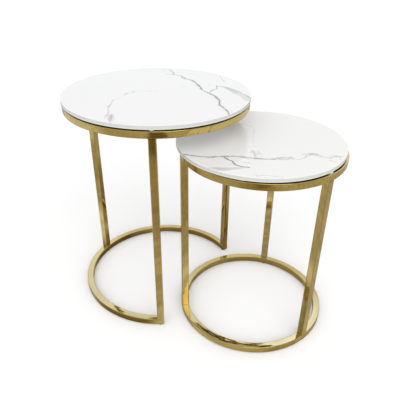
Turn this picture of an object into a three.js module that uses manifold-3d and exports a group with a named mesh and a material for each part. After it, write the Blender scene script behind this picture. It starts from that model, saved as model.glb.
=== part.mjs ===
// Two round nesting side tables: stone slabs on frames of square metal tube.
// Millimetres, +Z up. The floor is z = 0 and the origin is at the middle of the pair's footprint.
// +X points from the large table towards the small one, along which the small table slides in and out.
import * as THREE from "three";
import { mergeVertices } from "three/addons/utils/BufferGeometryUtils.js";
import Module from "manifold-3d";

// Driving dimensions.
const LARGE_HEIGHT = 608;
const SMALL_HEIGHT = 534;
const LARGE_SLAB_RADIUS = 250;
const SMALL_SLAB_RADIUS = 212.5;
const LARGE_RING_RADIUS = 249;
const SMALL_RING_RADIUS = 211;
const SLAB_THICKNESS = 10;
const SLAB_EASE = 0.8;
const TUBE = 19;
const WALL = 1.2;
const SHADOW_GAP = 3;
const FOOT_HEIGHT = 2;
const CLEARANCE = 0.3;

// Where the two tables stand: apart along X, and a little aside along Y.
const CENTRE_DISTANCE = 308;
const SMALL_ASIDE = 6.5;
const SMALL_SLAB_SHIFT = [-6, -3];

// Legs, in degrees from +X. The large base is open between its legs at -60 and 60.
const LARGE_LEG_ANGLES = [60, 180, -60];
const SMALL_LEG_ANGLES = [-21, 99, 219];
const STOP_STEP = 60;

// The joint between a leg and a ring, and the push-in stops and feet.
const INSERT_LENGTH = 12;
const INSERT_BORE = 6.4;
const SCREW_DIAMETER = 5.8;
const SCREW_REACH = 12;
const SCREW_HEAD_DIAMETER = 10.5;
const SCREW_HEAD_HEIGHT = 4;
const HEX_WIDTH = 4;
const HEX_DEPTH = 2.4;
const SCREW_HOLE = 7;
const ACCESS_HOLE = 13;
const STEM_DIAMETER = 12.2;
const STEM_LENGTH = 3.5;
const STOP_DIAMETER = 15;
const FOOT_DIAMETER = 17;

// The plates that close the ends of the C-shaped base.
const CAP_PLATE = 1.5;
const CAP_STEP = 1.2;

// Facets.
const RING_SEGMENTS = 60;
const HOLE_SEGMENTS = 12;
const SCREW_SEGMENTS = 12;

const wasm = await Module();
wasm.setup();

const EPSILON = 0.05;
const smallReach = Math.max(SMALL_SLAB_SHIFT[0] + SMALL_SLAB_RADIUS, SMALL_RING_RADIUS);
const halfLength = (LARGE_SLAB_RADIUS + CENTRE_DISTANCE + smallReach) / 2;
const largeCentre = new THREE.Vector3(LARGE_SLAB_RADIUS - halfLength, 0, 0);
const smallCentre = new THREE.Vector3(largeCentre.x + CENTRE_DISTANCE, SMALL_ASIDE, 0);

// Materials.
function goldMaterial() {
  return new THREE.MeshStandardMaterial({ color: 0xb8923e, roughness: 0.2, metalness: 1 });
}

function stoneMaterial() {
  return new THREE.MeshStandardMaterial({ color: 0xf2f2f1, roughness: 0.12, metalness: 0 });
}

function steelMaterial() {
  return new THREE.MeshStandardMaterial({ color: 0x9b9da0, roughness: 0.35, metalness: 1 });
}

function siliconeMaterial() {
  return new THREE.MeshStandardMaterial({ color: 0xc9cccb, roughness: 0.45, metalness: 0 });
}

function rubberMaterial() {
  return new THREE.MeshStandardMaterial({ color: 0x1c1c1d, roughness: 0.8, metalness: 0 });
}

// Booleans.
function toSolid(geometry) {
  const bare = geometry.clone();
  bare.deleteAttribute("normal");
  bare.deleteAttribute("uv");
  const merged = mergeVertices(bare, 1e-4);
  return new wasm.Manifold(
    new wasm.Mesh({
      numProp: 3,
      vertProperties: new Float32Array(merged.attributes.position.array),
      triVerts: new Uint32Array(merged.index.array),
    }),
  );
}

function toGeometry(solid) {
  const mesh = solid.getMesh();
  const geometry = new THREE.BufferGeometry();
  geometry.setAttribute("position", new THREE.BufferAttribute(mesh.vertProperties, 3));
  geometry.setIndex(new THREE.BufferAttribute(mesh.triVerts, 1));
  geometry.computeVertexNormals();
  return geometry;
}

function cut(geometry, tools) {
  const solid = tools.reduce((left, tool) => left.subtract(toSolid(tool)), toSolid(geometry));
  return toGeometry(solid);
}

function join(geometries) {
  const solids = geometries.map(toSolid);
  return toGeometry(solids.slice(1).reduce((sum, solid) => sum.add(solid), solids[0]));
}

function radians(degrees) {
  return THREE.MathUtils.degToRad(degrees);
}

function onCircle(radius, degrees) {
  return [radius * Math.cos(radians(degrees)), radius * Math.sin(radians(degrees))];
}

// Shapes. Each stands on z = bottom and is centred on the Z axis unless it says otherwise.
function turned(outline, segments) {
  const points = outline.map(([radius, z]) => new THREE.Vector2(radius, z));
  return new THREE.LatheGeometry(points, segments).rotateX(Math.PI / 2);
}

function upright(diameter, bottom, top, segments = HOLE_SEGMENTS) {
  const geometry = new THREE.CylinderGeometry(diameter / 2, diameter / 2, top - bottom, segments);
  return geometry.rotateX(Math.PI / 2).translate(0, 0, (bottom + top) / 2);
}

function squareBand(outerRadius, innerRadius, bottom, top) {
  const outline = [
    [innerRadius, bottom],
    [outerRadius, bottom],
    [outerRadius, top],
    [innerRadius, top],
    [innerRadius, bottom],
  ];
  return turned(outline, RING_SEGMENTS);
}

// A flat C: a band whose two ends are square to the ring at the first and last angle, and stand
// `beyond` past those angles' own radial lines.
function openBand(outerRadius, innerRadius, bottom, top, fromAngle, toAngle, beyond) {
  const outerSlip = Math.asin(beyond / outerRadius);
  const innerSlip = Math.asin(beyond / innerRadius);
  const from = radians(fromAngle);
  const to = radians(toAngle);
  const shape = new THREE.Shape();
  shape.absarc(0, 0, outerRadius, from - outerSlip, to + outerSlip, false);
  shape.absarc(0, 0, innerRadius, to + innerSlip, from - innerSlip, true);
  shape.closePath();
  const depth = top - bottom;
  const curveSegments = Math.round((RING_SEGMENTS * (toAngle - fromAngle)) / 360);
  const geometry = new THREE.ExtrudeGeometry(shape, { depth, curveSegments, bevelEnabled: false });
  return geometry.translate(0, 0, bottom);
}

function holesAt(radius, angles, diameter, bottom, top) {
  return angles.map((angle) => {
    const [x, y] = onCircle(radius, angle);
    return upright(diameter, bottom, top).translate(x, y, 0);
  });
}

// Stone slab with its top and bottom edges eased.
function slabGeometry(radius, bottom) {
  const top = bottom + SLAB_THICKNESS;
  const outline = [
    [0, bottom],
    [radius - SLAB_EASE, bottom],
    [radius, bottom + SLAB_EASE],
    [radius, top - SLAB_EASE],
    [radius - SLAB_EASE, top],
    [0, top],
  ];
  return turned(outline, RING_SEGMENTS);
}

// Full ring of hollow square tube, with wide access holes in one wall and screw holes in the other.
function ringGeometry(ringRadius, bottom, accessAngles, screwAngles, accessOnTop) {
  const top = bottom + TUBE;
  const middle = (bottom + top) / 2;
  const tubeLine = ringRadius - TUBE / 2;
  const hollow = squareBand(ringRadius - WALL, ringRadius - TUBE + WALL, bottom + WALL, top - WALL);
  const above = [middle, top + EPSILON];
  const below = [bottom - EPSILON, middle];
  const [accessSpan, screwSpan] = accessOnTop ? [above, below] : [below, above];
  return cut(squareBand(ringRadius, ringRadius - TUBE, bottom, top), [
    hollow,
    ...holesAt(tubeLine, accessAngles, ACCESS_HOLE, ...accessSpan),
    ...holesAt(tubeLine, screwAngles, SCREW_HOLE, ...screwSpan),
  ]);
}

// C-shaped base of hollow square tube, open at both ends, each of which takes an end cap.
function openBaseGeometry(ringRadius, bottom, legAngles) {
  const top = bottom + TUBE;
  const middle = (bottom + top) / 2;
  const tubeLine = ringRadius - TUBE / 2;
  const inner = ringRadius - TUBE;
  const first = legAngles[0];
  const last = legAngles[legAngles.length - 1] + 360;
  const end = TUBE / 2 - CAP_PLATE - CLEARANCE;
  const tube = openBand(ringRadius, inner, bottom, top, first, last, end);
  const hollow = openBand(ringRadius - WALL, inner + WALL, bottom + WALL, top - WALL, first, last, TUBE);
  return cut(tube, [
    hollow,
    ...holesAt(tubeLine, legAngles, ACCESS_HOLE, bottom - EPSILON, middle),
    ...holesAt(tubeLine, legAngles, SCREW_HOLE, middle, top + EPSILON),
  ]);
}

// End cap: a plate over the tube's end with a shallow step that sits inside the tube. The plate's
// outer face is at y = TUBE / 2 and the step points to -Y.
function endCapGeometry() {
  const stepWidth = TUBE - 2 * WALL - 2 * CLEARANCE;
  const plateInner = TUBE / 2 - CAP_PLATE;
  const plate = new THREE.BoxGeometry(TUBE, CAP_PLATE, TUBE).translate(0, plateInner + CAP_PLATE / 2, 0);
  const stepLength = CAP_STEP + EPSILON;
  const step = new THREE.BoxGeometry(stepWidth, stepLength, stepWidth);
  step.translate(0, plateInner + EPSILON - stepLength / 2, 0);
  return join([plate, step]);
}

// Leg: a length of square tube, open at both ends.
function legGeometry(bottom, top) {
  const half = TUBE / 2;
  const halfHollow = half - WALL;
  const shape = new THREE.Shape();
  shape.moveTo(-half, -half);
  shape.lineTo(half, -half);
  shape.lineTo(half, half);
  shape.lineTo(-half, half);
  shape.closePath();
  const hollow = new THREE.Path();
  hollow.moveTo(-halfHollow, -halfHollow);
  hollow.lineTo(-halfHollow, halfHollow);
  hollow.lineTo(halfHollow, halfHollow);
  hollow.lineTo(halfHollow, -halfHollow);
  hollow.closePath();
  shape.holes.push(hollow);
  const geometry = new THREE.ExtrudeGeometry(shape, { depth: top - bottom, bevelEnabled: false });
  return geometry.translate(0, 0, bottom);
}

// Threaded insert: a block in the leg's end with a bore through it.
function insertGeometry(bottom) {
  const width = TUBE - 2 * WALL - 2 * CLEARANCE;
  const top = bottom + INSERT_LENGTH;
  const block = new THREE.BoxGeometry(width, width, INSERT_LENGTH).translate(0, 0, (bottom + top) / 2);
  return cut(block, [upright(INSERT_BORE, bottom - 1, top + 1, SCREW_SEGMENTS)]);
}

// Socket screw along Z: the head's bearing face is at z = 0, the shank points up and the hex opens down.
function screwGeometry() {
  const head = upright(SCREW_HEAD_DIAMETER, -SCREW_HEAD_HEIGHT, 0, SCREW_SEGMENTS);
  const shank = upright(SCREW_DIAMETER, -1, SCREW_REACH, SCREW_SEGMENTS);
  const hexDiameter = HEX_WIDTH / Math.cos(Math.PI / 6);
  const hexTop = HEX_DEPTH - SCREW_HEAD_HEIGHT;
  const socket = upright(hexDiameter, -SCREW_HEAD_HEIGHT - 1, hexTop, 6);
  return cut(join([head, shank]), [socket]);
}

// Push-in stop or foot: a round pad with a stem. The pad's inner face is at z = 0, the stem points up.
function padGeometry(diameter, thickness) {
  const ease = thickness / 4;
  const outline = [
    [0, -thickness],
    [diameter / 2 - ease, -thickness],
    [diameter / 2, -thickness + ease],
    [diameter / 2, 0],
    [STEM_DIAMETER / 2, 0],
    [STEM_DIAMETER / 2, STEM_LENGTH],
    [0, STEM_LENGTH],
  ];
  return turned(outline, HOLE_SEGMENTS);
}

function namedMesh(name, geometry, material) {
  const mesh = new THREE.Mesh(geometry, material);
  mesh.name = name;
  return mesh;
}

// Sets a mesh on the tube's centre line at an angle, with its own X axis pointing outwards.
function placeOnRing(mesh, ringRadius, angle, z) {
  const [x, y] = onCircle(ringRadius - TUBE / 2, angle);
  mesh.position.set(x, y, z);
  mesh.rotation.z = radians(angle);
  return mesh;
}

// Sets a mesh the same way, upside down.
function placeInverted(mesh, ringRadius, angle, z) {
  const turnedOver = new THREE.Group();
  mesh.rotation.x = Math.PI;
  turnedOver.add(mesh);
  return placeOnRing(turnedOver, ringRadius, angle, z);
}

// One table about its own vertical axis.
function buildTable({ name, height, slabRadius, slabShift, ringRadius, legAngles, openBase }) {
  const table = new THREE.Group();
  const slabBottom = height - SLAB_THICKNESS;
  const ringTop = slabBottom - SHADOW_GAP;
  const ringBottom = ringTop - TUBE;
  const baseBottom = FOOT_HEIGHT;
  const baseTop = baseBottom + TUBE;
  const legBottom = baseTop + CLEARANCE;
  const legTop = ringBottom - CLEARANCE;

  const slab = namedMesh(`${name}_slab`, slabGeometry(slabRadius, slabBottom), stoneMaterial());
  slab.position.set(...slabShift, 0);
  table.add(slab);

  const stopAngles = Array.from({ length: 360 / STOP_STEP }, (_, i) => legAngles[0] + i * STOP_STEP);
  const topRing = ringGeometry(ringRadius, ringBottom, stopAngles, legAngles, true);
  table.add(namedMesh(`${name}_top_ring`, topRing, goldMaterial()));

  const base = openBase
    ? openBaseGeometry(ringRadius, baseBottom, legAngles)
    : ringGeometry(ringRadius, baseBottom, legAngles, legAngles, false);
  table.add(namedMesh(openBase ? `${name}_c_base` : `${name}_base_ring`, base, goldMaterial()));

  if (openBase) {
    const capZ = (baseBottom + baseTop) / 2;
    const lastCap = namedMesh(`${name}_base_cap_b`, endCapGeometry(), goldMaterial());
    const firstCap = namedMesh(`${name}_base_cap_a`, endCapGeometry(), goldMaterial());
    table.add(placeOnRing(lastCap, ringRadius, legAngles[legAngles.length - 1], capZ));
    table.add(placeInverted(firstCap, ringRadius, legAngles[0], capZ));
  }

  legAngles.forEach((angle, i) => {
    const label = `${name}_leg_${i + 1}`;
    const leg = namedMesh(label, legGeometry(legBottom, legTop), goldMaterial());
    table.add(placeOnRing(leg, ringRadius, angle, 0));

    const lowInsert = namedMesh(`${label}_insert_low`, insertGeometry(legBottom), steelMaterial());
    table.add(placeOnRing(lowInsert, ringRadius, angle, 0));
    const highInsert = insertGeometry(legTop - INSERT_LENGTH);
    table.add(placeOnRing(namedMesh(`${label}_insert_high`, highInsert, steelMaterial()), ringRadius, angle, 0));

    const lowScrew = namedMesh(`${label}_screw_low`, screwGeometry(), steelMaterial());
    table.add(placeOnRing(lowScrew, ringRadius, angle, baseTop - WALL - CLEARANCE));
    const highScrew = namedMesh(`${label}_screw_high`, screwGeometry(), steelMaterial());
    table.add(placeInverted(highScrew, ringRadius, angle, ringBottom + WALL + CLEARANCE));

    const footGeometry = padGeometry(FOOT_DIAMETER, FOOT_HEIGHT - CLEARANCE);
    const foot = namedMesh(`${name}_foot_${i + 1}`, footGeometry, rubberMaterial());
    table.add(placeOnRing(foot, ringRadius, angle, baseBottom - CLEARANCE));
  });

  stopAngles.forEach((angle, i) => {
    const stopGeometry = padGeometry(STOP_DIAMETER, SHADOW_GAP - 2 * CLEARANCE);
    const stop = namedMesh(`${name}_stop_${i + 1}`, stopGeometry, siliconeMaterial());
    table.add(placeInverted(stop, ringRadius, angle, ringTop + CLEARANCE));
  });
  return table;
}

const largeTable = buildTable({
  name: "large",
  height: LARGE_HEIGHT,
  slabRadius: LARGE_SLAB_RADIUS,
  slabShift: [0, 0],
  ringRadius: LARGE_RING_RADIUS,
  legAngles: LARGE_LEG_ANGLES,
  openBase: true,
});
largeTable.position.copy(largeCentre);

const smallTable = buildTable({
  name: "small",
  height: SMALL_HEIGHT,
  slabRadius: SMALL_SLAB_RADIUS,
  slabShift: SMALL_SLAB_SHIFT,
  ringRadius: SMALL_RING_RADIUS,
  legAngles: SMALL_LEG_ANGLES,
  openBase: false,
});
smallTable.position.copy(smallCentre);

const nestingTables = new THREE.Group();
nestingTables.add(largeTable, smallTable);

export default nestingTables;
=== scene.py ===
# Two round nesting side tables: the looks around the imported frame. Metres, +Z up.
import math

import bpy
import numpy as np
from mathutils import Matrix, Vector


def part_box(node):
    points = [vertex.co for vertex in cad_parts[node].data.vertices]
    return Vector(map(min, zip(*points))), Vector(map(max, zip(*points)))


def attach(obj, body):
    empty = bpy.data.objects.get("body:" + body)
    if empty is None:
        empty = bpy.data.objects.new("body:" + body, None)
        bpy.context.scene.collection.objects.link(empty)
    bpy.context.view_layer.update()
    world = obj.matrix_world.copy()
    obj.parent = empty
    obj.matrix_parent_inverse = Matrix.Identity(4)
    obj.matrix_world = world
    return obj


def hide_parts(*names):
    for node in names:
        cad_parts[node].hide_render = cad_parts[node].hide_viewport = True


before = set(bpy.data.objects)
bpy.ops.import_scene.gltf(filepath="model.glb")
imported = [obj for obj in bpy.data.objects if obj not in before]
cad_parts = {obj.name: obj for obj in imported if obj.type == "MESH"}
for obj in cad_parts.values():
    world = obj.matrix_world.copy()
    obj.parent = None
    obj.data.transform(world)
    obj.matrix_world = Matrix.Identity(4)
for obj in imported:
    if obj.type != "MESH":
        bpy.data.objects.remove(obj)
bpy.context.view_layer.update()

MM = 0.001

# Camera.
CAMERA_PLACE = (0.5317, -0.9965, 0.9702)
CAMERA_YAW = 26.95
CAMERA_PITCH = -31.22
CAMERA_ROLL = 1.27
CAMERA_LENS = 39.08
SENSOR_WIDTH = 36

# Tube. BEND_DROP is how far bending pulls the upper wall down at the outside of a ring.
WALL = 1.2 * MM
CORNER_RADIUS = 2.1 * MM
BEND_DROP = 0.7 * MM
ACCESS_HOLE = 13 * MM
SCREW_HOLE = 7 * MM

# End caps of the C-shaped base.
CAP_PLATE = 1.5 * MM
CAP_GAP = 0.3 * MM
CAP_EASE = 0.4 * MM
CAP_STEP_DEPTH = 1.2 * MM
CAP_STEP_PLAY = 0.6 * MM
CAP_STEP_CORNER = 0.5 * MM

# Stops and feet. The pad's numbers are shares of its radius or of its thickness.
STEM_DIAMETER = 12.2 * MM
STEM_LENGTH = 3.5 * MM
STEM_EASE = 0.5 * MM
PAD_EASE = 0.35
GROOVE_RADII = (0.45, 0.5, 0.55)
GROOVE_DEPTH = 0.12

# Slab.
ARRIS_TOP = 1.1 * MM
ARRIS_BOTTOM = 0.8 * MM
BACKING = 2.8 * MM
BACKING_BLUR = 0.15 * MM
# Width and blur of a painted shade band under the slab, over the ring, that darkens the gap between them.
GAP_SHADE_BAND = 25 * MM
GAP_SHADE_BAND_BLUR = 1 * MM

# Steps round each shape, points across each rounded edge, and the angle past which an edge is sharp.
RING_STEPS = 240
SLAB_STEPS = 256
PAD_STEPS = 40
CORNER_STEPS = 5
ARRIS_TOP_STEPS = 6
ARRIS_BOTTOM_STEPS = 5
SMOOTH_ANGLE = math.radians(35)

# Fixings on each table.
LEG_COUNT = 3
STOP_COUNT = 6

# What a vein's curve node spans from 0 to 1, in millimetres. No route strays half of it from its chord.
CURVE_REACH = 200.0

# Colours, linear.
GOLD = (0.61, 0.463, 0.165)
GOLD_WORN = (0.68, 0.55, 0.30)
# Paler gold on faces that look up: dust, and a painted sheen.
GOLD_DUST_AND_SHEEN = (0.64, 0.515, 0.225)
STONE = (0.772, 0.770, 0.762)
STONE_CLOUD = (0.742, 0.738, 0.728)
# Painted shade: the stone's upright edge is darker than its top.
STONE_EDGE_PAINTED_SHADE = (0.44, 0.44, 0.42)
BACKING_WHITE = (0.84, 0.87, 0.90)
# Painted shade: the backing's upright edge is darker than its underside.
BACKING_EDGE_PAINTED_SHADE = (0.56, 0.56, 0.53)
# Painted shade: the dark band under the slab over the ring, in the gap between them.
GAP_PAINTED_SHADE = (0.05, 0.026, 0.010)
VEIN = (0.12, 0.125, 0.125)
VEIN_SOFT = (0.40, 0.405, 0.40)
ZINC = (0.62, 0.63, 0.64)
ZINC_DULL = (0.5, 0.51, 0.53)
SILICONE = (0.62, 0.64, 0.63)
SILICONE_DUSTY = (0.5, 0.5, 0.48)
RUBBER = (0.018, 0.018, 0.019)
RUBBER_DUSTY = (0.06, 0.058, 0.055)

# Stage colours: the floor and the backdrop as the camera sees them, the light that they give, and
# what polished metal mirrors of them. Front is the camera's side of the room.
FLOOR = (0.93, 0.93, 0.93)
FLOOR_BOUNCE = (0.76, 0.78, 0.80)
FLOOR_MIRRORED = (0.49, 0.455, 0.37)
ROOM = (1.0, 1.0, 1.0)
ROOM_BACK_MIRRORED = (1.06, 1.08, 1.12)
ROOM_FRONT_MIRRORED = (0.38, 0.38, 0.375)
BACKDROP = (1.0, 1.0, 1.0)

# Brighter spots in the mirrored room: direction, cosines at the rim and at the core, colour.
ROOM_WINDOWS = [
    ((-0.12, 0.67, 0.73), 0.984, 0.996, (1.65, 1.85, 2.6)),
    ((-0.51, 0.53, 0.68), 0.970, 0.995, (1.33, 1.48, 1.90)),
]

# Mirrored floor tones, painted shade and light: centre, size, angle in degrees, core share, colour.
FLOOR_TONE_AND_SHADE_PATCHES = [
    ((-1.75, -0.60), (1.70, 0.75), -63, 0.4, (0.77, 0.79, 0.80)),
    ((-0.98, -0.24), (0.62, 0.36), 90, 0.3, (0.35, 0.31, 0.23)),
    ((-0.47, -0.10), (0.26, 0.15), 49, 0.4, (0.80, 0.80, 0.78)),
    ((0.14, -0.22), (0.30, 0.12), 0, 0.4, (0.72, 0.69, 0.61)),
    ((-0.15, -0.28), (0.14, 0.09), 0, 0.4, (0.30, 0.235, 0.13)),
    ((-0.36, 0.02), (0.20, 0.22), 0, 0.3, (0.20, 0.15, 0.08)),
    ((-0.02, 0.36), (0.38, 0.27), 0, 0.6, (0.33, 0.26, 0.16)),
    ((0.52, -0.92), (0.78, 0.66), -60, 0.25, (0.34, 0.275, 0.155)),
    ((0.77, -1.45), (0.58, 0.43), -60, 0.4, (0.16, 0.115, 0.06)),
]
FLOOR_REACH = 30.0
FLOOR_WANDER = (0.35, 0.25)

# Light. The room's strength is a sum: one part goes by height, the other grows towards FRONT_WAY.
FRONT_WAY = (0.45, -0.85, 0.1)
HORIZON_STRENGTH = 1.0
ZENITH_STRENGTH = 0.8
FRONT_STRENGTH = 1.15
SOFT_BOX_PLACE = (1.5, -1.5, 2.1)
SOFT_BOX_AIM = (0, 0, 0.4)
SOFT_BOX_SIZE = (1.6, 1.2)
SOFT_BOX_POWER = 8
SOFT_BOX_COLOUR = (1.0, 0.99, 0.97)


# Meshes -----------------------------------------------------------------------------------------


def mesh_object(name, vertices, faces):
    mesh = bpy.data.meshes.new(name)
    mesh.from_pydata([tuple(v) for v in vertices], [], [tuple(f) for f in faces])
    mesh.validate()
    piece = bpy.data.objects.new(name, mesh)
    bpy.context.scene.collection.objects.link(piece)
    return piece


def smooth(piece):
    """Smooth shading with sharp cut edges, and flat faces that stay flat next to their rounded corners."""
    mesh = piece.data
    mesh.polygons.foreach_set("use_smooth", [True] * len(mesh.polygons))
    mesh.set_sharp_from_angle(angle=SMOOTH_ANGLE)
    weighted = piece.modifiers.new("flat_faces", "WEIGHTED_NORMAL")
    weighted.keep_sharp = True
    return piece


def arc(centre, radius, start, stop, steps):
    """Points of an arc between two angles in degrees."""
    angles = np.radians(np.linspace(start, stop, steps))
    return [(centre[0] + radius * math.cos(a), centre[1] + radius * math.sin(a)) for a in angles]


def rounded_square(side, corner):
    """Outline of a square with rounded corners, anticlockwise about the origin."""
    inset = side / 2 - corner
    centres = [(inset, inset), (-inset, inset), (-inset, -inset), (inset, -inset)]
    points = []
    for quarter, centre in enumerate(centres):
        points += arc(centre, corner, quarter * 90, quarter * 90 + 90, CORNER_STEPS)
    return points


def sharp_square(side):
    """Outline of a plain square, anticlockwise about the origin."""
    half = side / 2
    return [(half, half), (-half, half), (-half, -half), (half, -half)]


def bent(outline, side):
    """The section after bending: the upper wall leans down a little towards the outside of the ring."""
    return [(x, z - BEND_DROP * (0.5 + x / side) if z > 0 else z) for x, z in outline]


def loft_faces(rows, columns, closed=False):
    """Quads between rows of points, each row a closed loop. The last row meets the first one if the
    loft is closed; otherwise both end rows are filled."""
    faces = []
    for i in range(rows if closed else rows - 1):
        near = i * columns
        far = (i + 1) % rows * columns
        for j in range(columns):
            after = (j + 1) % columns
            faces.append((near + j, near + after, far + after, far + j))
    if not closed:
        faces.append(tuple(reversed(range(columns))))
        faces.append(tuple(range((rows - 1) * columns, rows * columns)))
    return faces


def flipped(faces):
    """The same faces looking the other way."""
    return [(face[0], *reversed(face[1:])) for face in faces]


def turned(name, outline, centre, steps):
    """A solid of revolution about a vertical axis. The outline of (radius, height) runs from the
    axis at the bottom to the axis at the top, and its two ends make the flat faces."""
    ring = outline[1:-1]
    vertices = []
    for radius, height in ring:
        for k in range(steps):
            a = 2 * math.pi * k / steps
            x = centre[0] + radius * math.cos(a)
            y = centre[1] + radius * math.sin(a)
            vertices.append((x, y, height))
    return mesh_object(name, vertices, loft_faces(len(ring), steps))


def swept(name, outline, centre, line_radius, height, span=None, beyond=0.0):
    """A tube section swept round a vertical axis. With a span of two angles its ends are cut square
    to the ring there, `beyond` past the angles' own radial lines."""
    steps = RING_STEPS if span is None else round(RING_STEPS * (span[1] - span[0]) / (2 * math.pi))
    rows = steps if span is None else steps + 1
    vertices = []
    for k in range(rows):
        share = k / steps
        for across, up in outline:
            radius = line_radius + across
            if span is None:
                a = 2 * math.pi * share
            else:
                slip = math.asin(beyond / radius)
                a = (span[0] - slip) * (1 - share) + (span[1] + slip) * share
            x = centre[0] + radius * math.cos(a)
            y = centre[1] + radius * math.sin(a)
            vertices.append((x, y, height + up))
    faces = loft_faces(rows, len(outline), closed=span is None)
    return mesh_object(name, vertices, flipped(faces))


def straight(name, outline, low, high):
    """A section along Z, closed at both ends."""
    vertices = [(x, y, low) for x, y in outline] + [(x, y, high) for x, y in outline]
    return mesh_object(name, vertices, loft_faces(2, len(outline)))


def post(diameter, place, low, high):
    """An upright round cutter."""
    outline = [(0, low), (diameter / 2, low), (diameter / 2, high), (0, high)]
    return turned("cutter", outline, place, PAD_STEPS)


def carve(piece, cutters):
    """Cuts the cutters out of the piece and deletes them."""
    for cutter in cutters:
        modifier = piece.modifiers.new("carve", "BOOLEAN")
        modifier.operation = "DIFFERENCE"
        modifier.solver = "MANIFOLD"
        modifier.object = cutter
    depsgraph = bpy.context.evaluated_depsgraph_get()
    carved = bpy.data.meshes.new_from_object(piece.evaluated_get(depsgraph))
    piece.modifiers.clear()
    piece.data = carved
    for cutter in cutters:
        bpy.data.objects.remove(cutter)
    return piece


def place_at(piece, place, angle):
    """Moves a piece made about the origin to a place in plan and turns it about Z."""
    turn = Matrix.Translation((place[0], place[1], 0)) @ Matrix.Rotation(angle, 4, "Z")
    piece.data.transform(turn)
    return piece


# Materials --------------------------------------------------------------------------------------


class Nodes:
    """A short way to write a node tree."""

    def __init__(self, tree):
        self.nodes = tree.nodes
        self.links = tree.links

    def put(self, value, socket):
        if isinstance(value, bpy.types.NodeSocket):
            self.links.new(value, socket)
        else:
            socket.default_value = value

    def math(self, operation, *values):
        node = self.nodes.new("ShaderNodeMath")
        node.operation = operation
        for value, socket in zip(values, node.inputs):
            self.put(value, socket)
        return node.outputs[0]

    def hypotenuse(self, x, y):
        squares = self.math("ADD", self.math("MULTIPLY", x, x), self.math("MULTIPLY", y, y))
        return self.math("SQRT", squares)

    def vector(self, x, y, z):
        node = self.nodes.new("ShaderNodeCombineXYZ")
        for value, socket in zip((x, y, z), node.inputs):
            self.put(value, socket)
        return node.outputs[0]

    def split(self, vector):
        """A vector's three parts."""
        node = self.nodes.new("ShaderNodeSeparateXYZ")
        self.put(vector, node.inputs[0])
        return node.outputs[0], node.outputs[1], node.outputs[2]

    def scaled(self, vector, scale):
        node = self.nodes.new("ShaderNodeVectorMath")
        node.operation = "MULTIPLY"
        self.put(vector, node.inputs[0])
        self.put(scale, node.inputs[1])
        return node.outputs[0]

    def noise(self, vector, scale, detail=3.0, roughness=0.5, distortion=0.0):
        node = self.nodes.new("ShaderNodeTexNoise")
        self.put(vector, node.inputs["Vector"])
        node.inputs["Scale"].default_value = scale
        node.inputs["Detail"].default_value = detail
        node.inputs["Roughness"].default_value = roughness
        node.inputs["Distortion"].default_value = distortion
        return node.outputs["Fac"]

    def span(self, value, low, high, to_low=0.0, to_high=1.0):
        """Takes the range from low to high over to another range, smoothly and without going past it."""
        node = self.nodes.new("ShaderNodeMapRange")
        node.interpolation_type = "SMOOTHSTEP"
        self.put(value, node.inputs["Value"])
        for key, number in zip(("From Min", "From Max", "To Min", "To Max"), (low, high, to_low, to_high)):
            self.put(number, node.inputs[key])
        return node.outputs["Result"]

    def mix(self, factor, first, second):
        node = self.nodes.new("ShaderNodeMix")
        node.data_type = "RGBA"
        self.put(factor, node.inputs["Factor"])
        for value, socket in ((first, node.inputs["A"]), (second, node.inputs["B"])):
            self.put((*value, 1.0) if isinstance(value, tuple) else value, socket)
        return node.outputs["Result"]

    def rays(self, kind):
        """1 for rays of one kind and 0 for all others."""
        return self.nodes.new("ShaderNodeLightPath").outputs[f"Is {kind} Ray"]

    def unlike_camera(self, seen, others):
        """A shader that camera rays see, and one that all other rays meet."""
        node = self.nodes.new("ShaderNodeMixShader")
        self.put(self.rays("Camera"), node.inputs["Fac"])
        self.put(others, node.inputs[1])
        self.put(seen, node.inputs[2])
        return node.outputs[0]


class Shader(Nodes):
    """The nodes of a new material. `place` is where a point is in the object's own frame."""

    def __init__(self, name):
        self.material = bpy.data.materials.new(name)
        self.material.use_nodes = True
        super().__init__(self.material.node_tree)
        self.surface = self.nodes["Principled BSDF"]
        self.place = self.nodes.new("ShaderNodeTexCoord").outputs["Object"]

    def geometry(self, what):
        return self.nodes.new("ShaderNodeNewGeometry").outputs[what]

    def facing_up(self):
        """1 on a face that looks up, 0 on an upright one and -1 on one that looks down."""
        return self.split(self.geometry("Normal"))[2]

    def bump(self, height, strength, distance):
        node = self.nodes.new("ShaderNodeBump")
        node.inputs["Strength"].default_value = strength
        node.inputs["Distance"].default_value = distance
        self.put(height, node.inputs["Height"])
        self.put(node.outputs["Normal"], self.surface.inputs["Normal"])

    def set(self, key, value):
        self.put((*value, 1.0) if isinstance(value, tuple) else value, self.surface.inputs[key])


def ring_place(s, centre):
    """A place as a ring has it: the distance from its axis, the way round in metres and the height."""
    typical_radius = 0.25
    x, y, z = s.split(s.place)
    east = s.math("SUBTRACT", x, centre[0])
    north = s.math("SUBTRACT", y, centre[1])
    way_round = s.math("MULTIPLY", s.math("ARCTAN2", north, east), typical_radius)
    return s.vector(s.hypotenuse(east, north), way_round, z)


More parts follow.
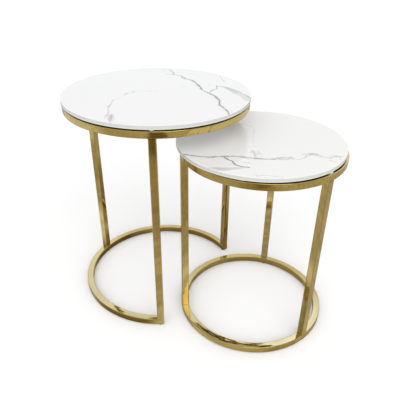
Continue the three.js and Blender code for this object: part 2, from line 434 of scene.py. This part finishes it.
def gold_material(name, ring_centre=None):
    """Gold-coated steel, mirror polished, with faint drawn lines, slight ripples and handling marks, and
    dust and a painted sheen on what faces up. The lines follow the ring about its centre, or else run
    along Z."""
    s = Shader(name)
    # Noise cells a metre: many across the tube and few along it.
    if ring_centre is None:
        lines = s.scaled(s.place, (900.0, 900.0, 9.0))
        ripples = s.scaled(s.place, (130.0, 130.0, 9.0))
    else:
        place = ring_place(s, ring_centre)
        lines = s.scaled(place, (900.0, 9.0, 900.0))
        ripples = s.scaled(place, (130.0, 14.0, 130.0))
    drawn = s.noise(lines, 1.0, detail=2.0)
    swell = s.noise(ripples, 1.0, detail=1.0)
    marks = s.noise(s.place, 28.0, detail=4.0, roughness=0.6)
    tone = s.noise(s.place, 7.0, detail=2.0)
    worn = s.span(s.geometry("Pointiness"), 0.52, 0.62)
    # Faces that look up are paler: dust, and a painted sheen.
    dust_and_sheen = s.span(s.facing_up(), 0.7, 0.95)
    gold = s.mix(s.math("MULTIPLY", worn, 0.5), s.mix(dust_and_sheen, GOLD, GOLD_DUST_AND_SHEEN), GOLD_WORN)
    uneven = s.math("ADD", s.math("MULTIPLY", drawn, 0.5), s.math("MULTIPLY", tone, 0.5))
    brightness = s.span(uneven, 0.32, 0.68, 0.80, 1.10)
    s.set("Base Color", s.scaled(gold, s.vector(brightness, brightness, brightness)))
    s.set("Metallic", 1.0)
    handled = s.span(marks, 0.35, 0.75, 0.015, 0.05)
    s.set("Roughness", s.math("ADD", handled, s.span(drawn, 0.3, 0.7, 0.0, 0.02)))
    s.bump(s.math("ADD", swell, s.math("MULTIPLY", drawn, 0.015)), 0.3, 0.0006)
    return s.material


def turned_axes(s, x, y, way):
    """How far a place in plan is along a direction, and how far to its left."""
    along = s.math("ADD", s.math("MULTIPLY", x, way[0]), s.math("MULTIPLY", y, way[1]))
    left = s.math("SUBTRACT", s.math("MULTIPLY", y, way[0]), s.math("MULTIPLY", x, way[1]))
    return along, left


def direction_of(angle):
    """The direction in plan at an angle in radians."""
    return math.cos(angle), math.sin(angle)


def route_frame(route):
    """The chord of a route: its start, direction and length."""
    start = Vector(route[0])
    chord = Vector(route[-1]) - start
    return start, chord.normalized(), chord.length


def along_and_across(s, x, y, route):
    """How far along a route's chord a place is, from 0 to 1, and how far to its left."""
    start, chord, length = route_frame(route)
    east = s.math("SUBTRACT", x, start.x)
    north = s.math("SUBTRACT", y, start.y)
    along, across = turned_axes(s, east, north, chord)
    return s.math("DIVIDE", along, length), across


def route_curve(s, along, route):
    """How far to the left of its chord a route runs."""
    start, chord, length = route_frame(route)
    bends = []
    for point in route:
        offset = Vector(point) - start
        left = chord.x * offset.y - chord.y * offset.x
        bends.append((offset.dot(chord) / length, 0.5 + left / CURVE_REACH))
    node = s.nodes.new("ShaderNodeFloatCurve")
    curve = node.mapping.curves[0]
    curve.points[0].location = bends[0]
    curve.points[-1].location = bends[-1]
    for share, height in bends[1:-1]:
        curve.points.new(share, height)
    for point in curve.points:
        point.handle_type = "VECTOR"
    node.mapping.update()
    s.put(along, node.inputs["Value"])
    return s.math("MULTIPLY", s.math("SUBTRACT", node.outputs["Value"], 0.5), CURVE_REACH)


def ends_mask(s, along, fade):
    """1 along a route, fading out at its two ends."""
    start = s.span(along, 0.0, fade)
    stop = s.span(along, 1.0 - fade, 1.0, 1.0, 0.0)
    return s.math("MULTIPLY", start, stop)


def vein(s, x, y, route, width, wander=1.2, gaps=0.0, fade=0.03):
    """A vein along a route: 1 on its line, falling to 0 at its sides. Its width and how far it wanders
    are in millimetres, and gaps from 0 to 1 break it into dots."""
    along, across = along_and_across(s, x, y, route)
    line = route_curve(s, along, route)
    coarse = s.math("SUBTRACT", s.noise(s.place, 70.0, detail=5.0, roughness=0.7), 0.5)
    strayed = s.math("ADD", s.math("SUBTRACT", across, line), s.math("MULTIPLY", coarse, wander * 7))
    off = s.math("ABSOLUTE", strayed)
    swell = s.span(s.noise(s.place, 48.0, detail=2.0), 0.35, 0.65, width * 0.35, width * 0.8)
    core = s.span(s.math("DIVIDE", off, swell), 0.0, 1.0, 1.0, 0.0)
    broken = s.span(s.noise(s.place, 120.0, detail=3.0), 0.40 + 0.10 * gaps, 0.48 + 0.10 * gaps)
    kept = s.math("ADD", s.math("MULTIPLY", broken, gaps), 1.0 - gaps)
    return s.math("MULTIPLY", s.math("MULTIPLY", core, ends_mask(s, along, fade)), kept)


def wash(s, x, y, upper, lower, soft):
    """A cloudy patch between two routes, sharp along the upper one and soft along the lower one."""
    along, across = along_and_across(s, x, y, upper)
    above = route_curve(s, along, upper)
    along_low, across_low = along_and_across(s, x, y, lower)
    below = route_curve(s, along_low, lower)
    under = s.span(s.math("SUBTRACT", above, across), 0.0, soft * 0.25)
    over = s.span(s.math("SUBTRACT", across_low, below), 0.0, soft)
    inside = s.math("MULTIPLY", under, over)
    return s.math("MULTIPLY", inside, ends_mask(s, along, 0.02))


def patch(s, x, y, centre, size, angle, core=0.2):
    """A soft elliptical patch, full strength over its core."""
    east = s.math("SUBTRACT", x, centre[0])
    north = s.math("SUBTRACT", y, centre[1])
    along, left = turned_axes(s, east, north, direction_of(angle))
    away = s.hypotenuse(s.math("DIVIDE", along, size[0]), s.math("DIVIDE", left, size[1]))
    return s.span(away, core, 1.0, 1.0, 0.0)


def strongest(s, values):
    """The highest of several masks."""
    result = values[0]
    for value in values[1:]:
        result = s.math("MAXIMUM", result, value)
    return result


def shade(s, strength, value):
    """A mask at part strength."""
    return s.math("MULTIPLY", value, strength)


def marble_material(name, centre, low, radius, draw_veins):
    """Polished white stone with grey veins on a white backing; painted shade on edges and over the ring.
    Veins are drawn in millimetres from the slab's own centre."""
    s = Shader(name)
    x, y, z = s.split(s.place)
    stone = s.span(s.math("SUBTRACT", z, low), BACKING - BACKING_BLUR, BACKING + BACKING_BLUR)
    x = s.math("DIVIDE", s.math("SUBTRACT", x, centre[0]), MM)
    y = s.math("DIVIDE", s.math("SUBTRACT", y, centre[1]), MM)
    dark, pale = draw_veins(s, x, y)
    cloud = s.span(s.noise(s.place, 6.0, detail=5.0, roughness=0.6, distortion=0.6), 0.45, 0.75)
    grain = s.noise(s.place, 1400.0, detail=2.0)
    colour = s.mix(s.math("MULTIPLY", cloud, 0.35), STONE, STONE_CLOUD)
    colour = s.mix(s.math("MULTIPLY", s.span(grain, 0.4, 0.8), 0.08), colour, STONE_CLOUD)
    colour = s.mix(pale, colour, VEIN_SOFT)
    colour = s.mix(dark, colour, VEIN)
    up = s.facing_up()
    # Painted shade: the upright edges are darker than the top.
    edge = s.span(up, 0.3, 0.8, 1.0, 0.0)
    colour = s.mix(s.math("MULTIPLY", edge, 0.8), colour, STONE_EDGE_PAINTED_SHADE)
    # Painted shade: a dark band on the underside over the ring darkens the gap between slab and ring.
    gap_shade_start = (radius - GAP_SHADE_BAND - GAP_SHADE_BAND_BLUR) / MM
    gap_shade_full = (radius - GAP_SHADE_BAND + GAP_SHADE_BAND_BLUR) / MM
    rim = s.span(s.hypotenuse(x, y), gap_shade_start, gap_shade_full)
    under = s.math("MULTIPLY", rim, s.span(up, -0.95, -0.8, 1.0, 0.0))
    # Painted shade: the backing's upright edge is darker than its underside.
    backing = s.mix(s.span(up, -0.9, -0.6), BACKING_WHITE, BACKING_EDGE_PAINTED_SHADE)
    colour = s.mix(stone, s.mix(under, backing, GAP_PAINTED_SHADE), colour)
    s.set("Base Color", colour)
    buffed = s.noise(s.place, 40.0, detail=3.0)
    gloss = s.math("ADD", s.span(buffed, 0.3, 0.8, 0.008, 0.03), s.math("MULTIPLY", dark, 0.06))
    backing_roughness = 0.4
    matt = s.math("SUBTRACT", backing_roughness, s.math("MULTIPLY", stone, backing_roughness))
    s.set("Roughness", s.math("ADD", gloss, matt))
    s.set("IOR", 1.5)
    s.bump(s.math("SUBTRACT", s.math("MULTIPLY", grain, 0.1), dark), 0.04, 0.0002)
    return s.material


def large_veins(s, x, y):
    """A long crack across the rear right, its branch to a grey wedge, and a broken trail on the left."""
    head = [(-115, 200), (-90, 210), (-60, 185), (-55, 170), (-25, 170), (-10, 150)]
    spur = [(-75, 165), (-60, 170), (-45, 170)]
    main = [
        (-10, 165), (-5, 150), (25, 145), (50, 125), (80, 95), (90, 80),
        (125, 60), (150, 45), (175, 20), (190, -10), (225, -40), (245, -65),
    ]
    branch = [(125, 60), (120, 80), (120, 95), (125, 105), (110, 135)]
    ridge = [(110, 135), (140, 135), (175, 120), (225, 90), (250, 70)]
    wedge_low = [(110, 135), (135, 125), (170, 100), (200, 80), (225, 55), (250, 35)]
    blade_up = [(110, 135), (140, 135), (175, 120), (200, 85)]
    blade_low = [(110, 135), (135, 125), (170, 100), (200, 85)]
    short = [(70, 230), (85, 215), (95, 200), (120, 175)]
    faint_a = [(30, 60), (40, 85), (55, 90), (60, 110)]
    faint_b = [(80, 140), (90, 130), (100, 115)]
    trail = [(0, 10), (-40, -15), (-55, -30), (-60, -60), (-50, -110)]
    trail_end = [(-60, -110), (-45, -140), (-30, -170), (-5, -200), (5, -230)]
    dark = strongest(s, [
        shade(s, 0.6, vein(s, x, y, head, 9.5, gaps=0.3, fade=0.02)),
        shade(s, 0.5, vein(s, x, y, spur, 8, gaps=0.3)),
        shade(s, 0.85, vein(s, x, y, main, 7.2)),
        shade(s, 0.72, vein(s, x, y, branch, 6.4)),
        shade(s, 0.42, vein(s, x, y, short, 5.5, gaps=0.5)),
        shade(s, 0.5, vein(s, x, y, ridge, 7, fade=0.01)),
        shade(s, 0.55, vein(s, x, y, trail, 7, gaps=1.0)),
        shade(s, 0.5, vein(s, x, y, trail_end, 8, wander=2, gaps=0.6)),
    ])
    slant = -0.95
    along, left = turned_axes(s, x, y, direction_of(slant))
    # Noise cells a millimetre: few along the smudge and many across it.
    streaky = s.vector(s.math("MULTIPLY", along, 0.035), s.math("MULTIPLY", left, 0.26), 0.0)
    smudge = s.span(s.noise(streaky, 1.0, detail=3.0), 0.35, 0.6, 0.25, 1.0)
    pale = strongest(s, [
        shade(s, 0.42, wash(s, x, y, ridge, wedge_low, 6)),
        shade(s, 0.7, wash(s, x, y, blade_up, blade_low, 4)),
        s.math("MULTIPLY", patch(s, x, y, (18, -221), (42, 11), slant), smudge),
        shade(s, 0.4, vein(s, x, y, faint_a, 7, gaps=0.8)),
        shade(s, 0.4, vein(s, x, y, faint_b, 7, gaps=0.6)),
        shade(s, 0.25, vein(s, x, y, main, 20, wander=2)),
    ])
    return dark, pale


def small_veins(s, x, y):
    """A long crack along the front that frays to the right, a branch to a pale wedge, and faint trails."""
    long = [
        (-130, -175), (-100, -170), (-65, -160), (-40, -140),
        (-15, -125), (20, -115), (50, -105), (75, -90),
    ]
    fray_up = [(70, -95), (80, -80), (105, -60)]
    fray_low = [(70, -95), (90, -80), (105, -70), (125, -65)]
    rise = [(120, -65), (130, -50), (130, -35), (140, -20), (150, -15)]
    curl = [(120, -30), (130, -20), (150, -20), (160, -30)]
    tail = [(145, -20), (160, -25), (180, -25), (190, -10), (205, 0)]
    hook = [(180, -10), (190, 0), (200, -10), (205, -20)]
    branch = [(-35, -140), (-20, -150), (-10, -150), (5, -165), (30, -165), (40, -160)]
    wedge_up = [(-45, -210), (-25, -195), (-10, -190), (10, -175), (40, -160)]
    wedge_low = [(-45, -210), (-15, -210), (0, -205), (20, -185), (40, -160)]
    trail = [(-110, 85), (-90, 80), (-60, 70), (-35, 55)]
    dots = [(-40, 60), (-25, 10), (10, -65)]
    knot = [(5, -75), (15, -80), (25, -100), (30, -105)]
    knot_side = [(20, -65), (25, -75), (40, -90)]
    low = [(55, -185), (70, -190), (75, -185), (95, -175), (120, -170)]
    flick = [(15, -145), (30, -140), (45, -140)]
    stray = [(180, -35), (200, -40)]
    dark = strongest(s, [
        shade(s, 0.85, vein(s, x, y, long, 6.6)),
        shade(s, 0.5, vein(s, x, y, fray_up, 6, wander=2.5, gaps=0.4)),
        shade(s, 0.55, vein(s, x, y, fray_low, 6, wander=2.5, gaps=0.3)),
        shade(s, 0.5, vein(s, x, y, rise, 6, wander=2.5, gaps=0.35)),
        shade(s, 0.42, vein(s, x, y, curl, 7, wander=3, gaps=0.5)),
        shade(s, 0.5, vein(s, x, y, tail, 6, wander=2, gaps=0.3)),
        shade(s, 0.38, vein(s, x, y, hook, 7, wander=3, gaps=0.4)),
        shade(s, 0.85, vein(s, x, y, branch, 7.8)),
        shade(s, 0.42, vein(s, x, y, trail, 5, gaps=0.8)),
        shade(s, 0.4, vein(s, x, y, dots, 6, gaps=1.0)),
        shade(s, 0.5, vein(s, x, y, knot, 6, wander=2, gaps=0.5)),
        shade(s, 0.32, vein(s, x, y, knot_side, 5, gaps=0.6)),
        shade(s, 0.36, vein(s, x, y, low, 6, wander=2, gaps=0.7)),
        shade(s, 0.3, vein(s, x, y, flick, 6, gaps=0.7)),
        shade(s, 0.3, vein(s, x, y, stray, 6, gaps=0.6)),
    ])
    mist = s.span(s.noise(s.place, 80.0, detail=4.0), 0.4, 0.7)
    pale = strongest(s, [
        shade(s, 0.55, wash(s, x, y, wedge_up, wedge_low, 5)),
        s.math("MULTIPLY", patch(s, x, y, (18, -85), (40, 14), -0.6), shade(s, 0.4, mist)),
        s.math("MULTIPLY", patch(s, x, y, (137, -27), (35, 16), 0.5), shade(s, 0.6, mist)),
        s.math("MULTIPLY", patch(s, x, y, (90, -78), (35, 12), 0.5), shade(s, 0.6, mist)),
        s.math("MULTIPLY", patch(s, x, y, (190, -8), (25, 12), 0.3), shade(s, 0.5, mist)),
        shade(s, 0.22, vein(s, x, y, long, 18, wander=2)),
    ])
    return dark, pale


def zinc_material():
    s = Shader("zinc_plated_steel")
    patches = s.noise(s.place, 600.0, detail=3.0)
    s.set("Base Color", s.mix(s.span(patches, 0.3, 0.7), ZINC, ZINC_DULL))
    s.set("Metallic", 1.0)
    s.set("Roughness", s.span(patches, 0.3, 0.7, 0.28, 0.42))
    return s.material


def silicone_material():
    s = Shader("silicone")
    dust = s.noise(s.place, 900.0, detail=3.0)
    s.set("Base Color", s.mix(s.span(dust, 0.5, 0.8), SILICONE, SILICONE_DUSTY))
    s.set("Roughness", s.span(dust, 0.3, 0.8, 0.3, 0.5))
    s.bump(dust, 0.08, 0.0001)
    return s.material


def rubber_material():
    s = Shader("rubber")
    dust = s.noise(s.place, 700.0, detail=4.0)
    s.set("Base Color", s.mix(s.span(dust, 0.5, 0.9), RUBBER, RUBBER_DUSTY))
    s.set("Roughness", s.span(dust, 0.3, 0.8, 0.6, 0.85))
    s.bump(dust, 0.15, 0.0001)
    return s.material


# Tables -----------------------------------------------------------------------------------------


def centre_of(node):
    """The middle of a frame node's box."""
    low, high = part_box(node)
    return (low + high) / 2


def dress(piece, body, slot, material, *nodes):
    """Gives a new piece its looks, its body and the nodes that it stands for."""
    smooth(piece)
    piece.data.materials.clear()
    piece.data.materials.append(material)
    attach(piece, body)
    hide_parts(*nodes)
    return piece


def build_slab(table, body, material):
    """Slab with its top and bottom arrises rounded."""
    node = f"{table}_slab"
    low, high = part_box(node)
    centre = (low + high) / 2
    radius = (high.x - low.x) / 2
    outline = [(0, low.z)]
    bottom = (radius - ARRIS_BOTTOM, low.z + ARRIS_BOTTOM)
    outline += arc(bottom, ARRIS_BOTTOM, -90, 0, ARRIS_BOTTOM_STEPS)
    top = (radius - ARRIS_TOP, high.z - ARRIS_TOP)
    outline += arc(top, ARRIS_TOP, 0, 90, ARRIS_TOP_STEPS)
    outline.append((0, high.z))
    slab = turned(f"{table}_marble_slab", outline, centre, SLAB_STEPS)
    return dress(slab, body, "marble", material, node)


def ring_measures(node):
    """A full ring's centre, tube size and the radius of its tube's middle line."""
    low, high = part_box(node)
    centre = (low + high) / 2
    tube = high.z - low.z
    return centre, tube, (high.x - low.x - tube) / 2


def hole_posts(places, diameter, low, high):
    """Cutters for equal holes at several places."""
    return [post(diameter, place, low, high) for place in places]


def bent_tube(node, tube, centre, line_radius, height, span=None, end=0.0):
    """Square tube bent round a vertical axis, and the cutter that hollows it out."""
    outline = bent(rounded_square(tube, CORNER_RADIUS), tube)
    hollow_outline = bent(sharp_square(tube - 2 * WALL), tube)
    piece = swept(f"{node}_tube", outline, centre, line_radius, height, span, end)
    hollow = swept("hollow", hollow_outline, centre, line_radius, height, span, tube)
    return piece, hollow


def build_ring(body, node, material, access_places, screw_places, access_on_top):
    """Full ring with access holes in one wall and screw holes in the other."""
    centre, tube, line_radius = ring_measures(node)
    ring, hollow = bent_tube(node, tube, centre, line_radius, centre.z)
    above = (centre.z, centre.z + tube)
    below = (centre.z - tube, centre.z)
    access_span, screw_span = (above, below) if access_on_top else (below, above)
    cutters = [hollow]
    cutters += hole_posts(access_places, ACCESS_HOLE, *access_span)
    cutters += hole_posts(screw_places, SCREW_HOLE, *screw_span)
    carve(ring, cutters)
    return dress(ring, body, "gold", material, node)


def build_open_base(body, node, material, centre, line_radius, legs):
    """C-shaped base of the same tube, open from the last leg round to the first."""
    low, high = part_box(node)
    tube = high.z - low.z
    height = (low.z + high.z) / 2
    first, last = legs[0][1], legs[-1][1]
    span = (first, last if last > first else last + 2 * math.pi)
    end = tube / 2 - CAP_PLATE - CAP_GAP
    base, hollow = bent_tube(node, tube, centre, line_radius, height, span, end)
    places = [place for place, _ in legs]
    cutters = [hollow]
    cutters += hole_posts(places, ACCESS_HOLE, height - tube, height)
    cutters += hole_posts(places, SCREW_HOLE, height, height + tube)
    carve(base, cutters)
    return dress(base, body, "gold", material, node)


def build_end_cap(body, node, material, place, angle, side):
    """Plate over the C's end, with its outer edge eased and a shallow step inside the tube."""
    low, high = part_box(node)
    tube = high.z - low.z
    outer = tube / 2
    inner = outer - CAP_PLATE
    step = tube - 2 * WALL - CAP_STEP_PLAY
    # Halfway round, an eased edge is about three tenths of its radius inside the sharp corner.
    halfway = 0.3 * CAP_EASE
    levels = [
        (inner - CAP_STEP_DEPTH, step, CAP_STEP_CORNER),
        (inner, step, CAP_STEP_CORNER),
        (inner, tube, CORNER_RADIUS),
        (outer - CAP_EASE, tube, CORNER_RADIUS),
        (outer - halfway, tube - 2 * halfway, CORNER_RADIUS - halfway),
        (outer, tube - 2 * CAP_EASE, CORNER_RADIUS - CAP_EASE),
    ]
    vertices = []
    for depth, size, corner in levels:
        vertices += [(side * x, side * depth, z) for x, z in rounded_square(size, corner)]
    faces = flipped(loft_faces(len(levels), 4 * CORNER_STEPS))
    cap = mesh_object(f"{node}_plate", vertices, faces)
    cap.data.transform(Matrix.Translation((0, 0, (low.z + high.z) / 2)))
    place_at(cap, place, angle)
    return dress(cap, body, "gold", material, node)


def build_leg(body, node, material, place, angle, tube):
    """Straight length of square tube, open at its two ends."""
    low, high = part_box(node)
    leg = straight(f"{node}_tube", rounded_square(tube, CORNER_RADIUS), low.z, high.z)
    hollow = straight("hollow", sharp_square(tube - 2 * WALL), low.z - tube, high.z + tube)
    carve(leg, [hollow])
    place_at(leg, place, angle)
    return dress(leg, body, "gold", material, node)


def build_pad(body, node, slot, material, stem_up):
    """Push-in stop or foot: a round pad with an eased rim, a groove round its face and a stem."""
    low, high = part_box(node)
    centre = (low + high) / 2
    length = high.z - low.z
    thickness = length - STEM_LENGTH
    radius = (high.x - low.x) / 2
    ease = thickness * PAD_EASE
    stem = STEM_DIAMETER / 2
    inner, middle, outer = (radius * share for share in GROOVE_RADII)
    outline = [
        (0, 0),
        (inner, 0),
        (middle, thickness * GROOVE_DEPTH),
        (outer, 0),
        *arc((radius - ease, ease), ease, -90, 0, CORNER_STEPS),
        (radius, thickness),
        (stem, thickness),
        (stem, length - STEM_EASE),
        (stem - STEM_EASE, length),
        (0, length),
    ]
    if stem_up:
        outline = [(r, low.z + h) for r, h in outline]
    else:
        outline = [(r, high.z - h) for r, h in reversed(outline)]
    pad = turned(f"{node}_pad", outline, centre, PAD_STEPS)
    return dress(pad, body, slot, material, node)


def leg_places(table, centre):
    """Each leg's place in plan and its direction from the table's middle."""
    found = []
    for i in range(1, LEG_COUNT + 1):
        middle = centre_of(f"{table}_leg_{i}")
        angle = math.atan2(middle.y - centre.y, middle.x - centre.x)
        found.append(((middle.x, middle.y), angle))
    return found


def stop_places(table):
    """Each stop's place in plan."""
    middles = [centre_of(f"{table}_stop_{i}") for i in range(1, STOP_COUNT + 1)]
    return [(middle.x, middle.y) for middle in middles]


def build_table(table, body, draw_veins, open_base):
    """One table: its slab, its frame with an open or a full base, its feet and its stops."""
    slab_low, slab_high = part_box(f"{table}_slab")
    slab_centre = centre_of(f"{table}_slab")
    slab_radius = (slab_high.x - slab_low.x) / 2
    marble = marble_material(f"{table}_marble", slab_centre, slab_low.z, slab_radius, draw_veins)
    build_slab(table, body, marble)

    centre, tube, line_radius = ring_measures(f"{table}_top_ring")
    ring_gold = gold_material(f"{table}_ring_gold", centre)
    leg_gold = gold_material(f"{table}_leg_gold")
    legs = leg_places(table, centre)
    joints = [place for place, _ in legs]
    build_ring(body, f"{table}_top_ring", ring_gold, stop_places(table), joints, True)
    if open_base:
        build_open_base(body, f"{table}_c_base", ring_gold, centre, line_radius, legs)
        build_end_cap(body, f"{table}_base_cap_a", leg_gold, *legs[0], -1)
        build_end_cap(body, f"{table}_base_cap_b", leg_gold, *legs[-1], 1)
    else:
        build_ring(body, f"{table}_base_ring", ring_gold, joints, joints, False)

    for i, (place, angle) in enumerate(legs, 1):
        build_leg(body, f"{table}_leg_{i}", leg_gold, place, angle, tube)
        build_pad(body, f"{table}_foot_{i}", "rubber", rubber, True)
    for i in range(1, STOP_COUNT + 1):
        build_pad(body, f"{table}_stop_{i}", "silicone", silicone, False)


def dress_fixings():
    """Screws and inserts stay as the frame has them, with a better finish."""
    for name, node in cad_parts.items():
        if "insert" in name or "screw" in name:
            node.data.materials.clear()
            node.data.materials.append(zinc)


# Stage ------------------------------------------------------------------------------------------


def mirrored_floor(s):
    """What polished metal mirrors of the floor: patches of floor tone, painted shade and painted light."""
    x, y, _ = s.split(s.place)
    wander = s.math("SUBTRACT", s.noise(s.place, 4.0, detail=3.0), 0.5)
    x = s.math("ADD", x, s.math("MULTIPLY", wander, FLOOR_WANDER[0]))
    y = s.math("ADD", y, s.math("MULTIPLY", wander, FLOOR_WANDER[1]))
    colour = FLOOR_MIRRORED
    # Floor tones, and painted shade and light, as polished metal mirrors them.
    for centre, size, angle, core, patch_colour in FLOOR_TONE_AND_SHADE_PATCHES:
        mask = patch(s, x, y, centre, size, math.radians(angle), core)
        colour = s.mix(mask, colour, patch_colour)
    grain = s.noise(s.scaled(s.place, (6.0, 30.0, 1.0)), 1.0, detail=3.0)
    streaks = s.span(grain, 0.4, 0.6, 0.86, 1.1)
    return s.scaled(colour, s.vector(streaks, streaks, streaks))


def build_floor():
    """Plain pale floor as the camera sees it, a patchy one for mirror rays and a duller one for others."""
    near, far = -FLOOR_REACH, FLOOR_REACH
    corners = [(near, near, 0), (far, near, 0), (far, far, 0), (near, far, 0)]
    floor = mesh_object("floor", corners, [(0, 1, 2, 3)])
    s = Shader("floor")
    s.set("Base Color", FLOOR)
    s.set("Roughness", 0.9)
    s.set("Specular IOR Level", 0.0)
    diffuse = s.nodes.new("ShaderNodeBsdfDiffuse")
    s.put(s.mix(s.rays("Glossy"), FLOOR_BOUNCE, mirrored_floor(s)), diffuse.inputs["Color"])
    shown = s.unlike_camera(s.surface.outputs[0], diffuse.outputs[0])
    s.put(shown, s.nodes["Material Output"].inputs["Surface"])
    floor.data.materials.append(s.material)


def towards(w, direction, way):
    """How well a direction agrees with another one: the cosine of the angle between them."""
    node = w.nodes.new("ShaderNodeVectorMath")
    node.operation = "DOT_PRODUCT"
    w.put(direction, node.inputs[0])
    w.put(Vector(way).normalized(), node.inputs[1])
    return node.outputs["Value"]


def build_room():
    """Plain bright room, brightest behind the camera. Polished metal mirrors it with a dimmer front
    and with brighter spots at the back."""
    world = bpy.data.worlds.new("studio")
    bpy.context.scene.world = world
    world.use_nodes = True
    w = Nodes(world.node_tree)
    direction = w.nodes.new("ShaderNodeTexCoord").outputs["Generated"]
    facing = towards(w, direction, FRONT_WAY)
    mirrored = ROOM_BACK_MIRRORED
    for way, rim, core, colour in ROOM_WINDOWS:
        mirrored = w.mix(w.span(towards(w, direction, way), rim, core), mirrored, colour)
    mirrored = w.mix(w.span(facing, -0.3, 0.5), mirrored, ROOM_FRONT_MIRRORED)

    room = w.nodes["Background"]
    w.put(w.mix(w.rays("Glossy"), ROOM, mirrored), room.inputs["Color"])
    _, _, height = w.split(direction)
    by_height = w.span(height, 0.0, 0.75, HORIZON_STRENGTH, ZENITH_STRENGTH)
    by_front = w.span(facing, 0.1, 0.9, 0.0, FRONT_STRENGTH)
    w.put(w.math("ADD", by_height, by_front), room.inputs["Strength"])
    backdrop = w.nodes.new("ShaderNodeBackground")
    w.put((*BACKDROP, 1.0), backdrop.inputs["Color"])
    shown = w.unlike_camera(backdrop.outputs[0], room.outputs[0])
    w.put(shown, w.nodes["World Output"].inputs["Surface"])


def build_soft_box():
    """One large lamp, above the camera and to its right."""
    lamp = bpy.data.lights.new("soft_box", "AREA")
    lamp.shape = "RECTANGLE"
    lamp.size, lamp.size_y = SOFT_BOX_SIZE
    lamp.energy = SOFT_BOX_POWER
    lamp.color = SOFT_BOX_COLOUR
    box = bpy.data.objects.new("soft_box", lamp)
    bpy.context.scene.collection.objects.link(box)
    box.location = SOFT_BOX_PLACE
    box.rotation_mode = "QUATERNION"
    box.rotation_quaternion = (box.location - Vector(SOFT_BOX_AIM)).to_track_quat("Z", "Y")


def build_camera():
    """The photo's camera, solved from the outlines of both tops and both bases."""
    data = bpy.data.cameras.new("camera")
    data.sensor_width = SENSOR_WIDTH
    data.lens = CAMERA_LENS
    data.clip_start = 0.05
    data.clip_end = 100.0
    camera = bpy.data.objects.new("camera", data)
    bpy.context.scene.collection.objects.link(camera)
    yaw = Matrix.Rotation(math.radians(CAMERA_YAW), 4, "Z")
    pitch = Matrix.Rotation(math.radians(90 + CAMERA_PITCH), 4, "X")
    roll = Matrix.Rotation(math.radians(CAMERA_ROLL), 4, "Z")
    camera.matrix_world = Matrix.Translation(CAMERA_PLACE) @ yaw @ pitch @ roll
    bpy.context.scene.camera = camera


build_camera()
zinc = zinc_material()
silicone = silicone_material()
rubber = rubber_material()
build_table("large", "large_table", large_veins, True)
build_table("small", "small_table", small_veins, False)
dress_fixings()
build_floor()
build_room()
build_soft_box()
bpy.context.scene.view_settings.view_transform = "Standard"
